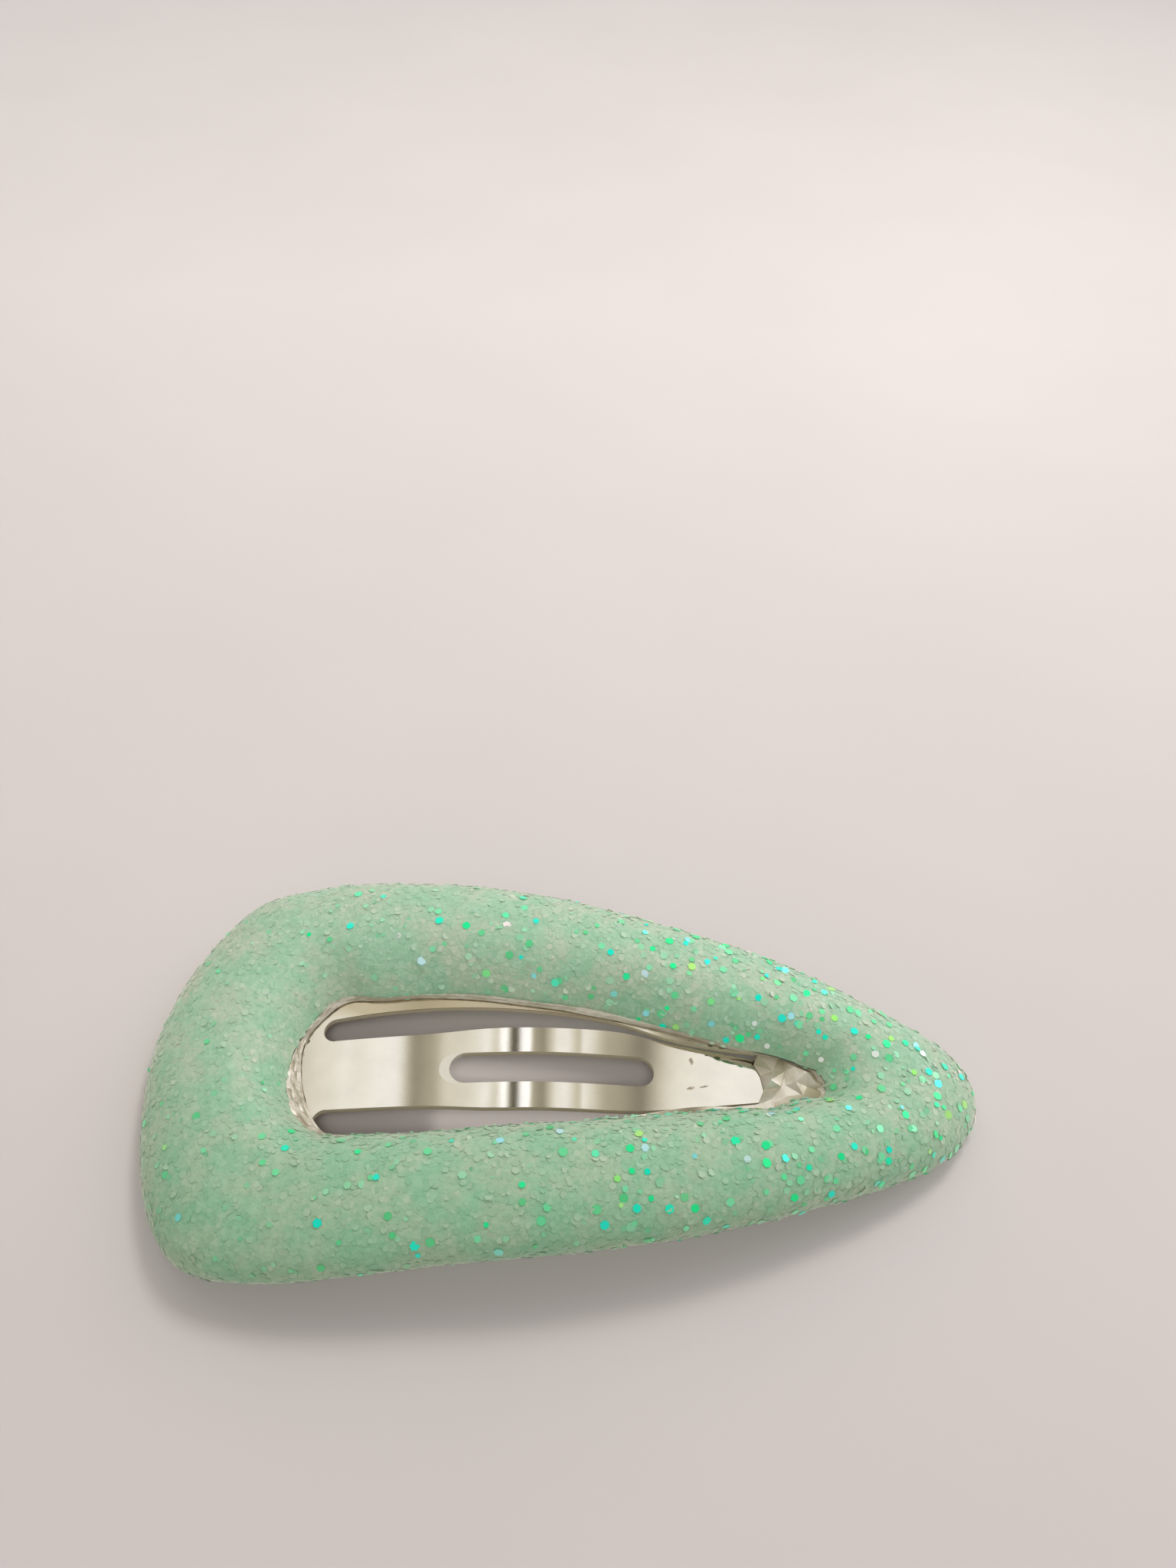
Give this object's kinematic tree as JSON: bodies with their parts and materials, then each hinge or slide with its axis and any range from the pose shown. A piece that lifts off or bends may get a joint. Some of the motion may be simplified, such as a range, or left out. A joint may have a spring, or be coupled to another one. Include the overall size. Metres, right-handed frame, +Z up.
{
  "type": "padded snap hair clip",
  "caption": "Arched padded snap clip for hair: a stuffed glitter teardrop ring over a sprung steel clip whose slotted tongue snaps open and shut.",
  "frame": {"origin": "on the surface that the clip rests on, under the middle of its box", "axes": "+X along the clip from its wide end to its tip, +Y across it, +Z up out of its decorated side"},
  "size_m": [0.062, 0.0312, 0.0083],
  "materials": {
    "glitter_fabric": "mint glitter fabric, padded, with fine iridescent flakes",
    "spring_steel": "bright nickel-plated sheet",
    "tongue_steel": "bright nickel-plated sheet, lightly scuffed on its pad",
    "crimped_sheet": "thin bright sheet, crimped and creased",
    "rivet_steel": "bright steel"
  },
  "bodies": {
    "clip_frame": {"cover": "glitter_fabric", "spring_frame": "spring_steel", "window_rim": "crimped_sheet", "tip_rivet": "rivet_steel"},
    "tongue": {"tongue": "tongue_steel"}
  },
  "joints": [
    {"name": "tongue_snap", "type": "hinge", "parent": "clip_frame", "child": "tongue", "pos_m": [-0.01708, -0.00045, 0.003], "axis": [-0.0297, 0.9996, 0], "range_deg": [0, 20]}
  ]
}
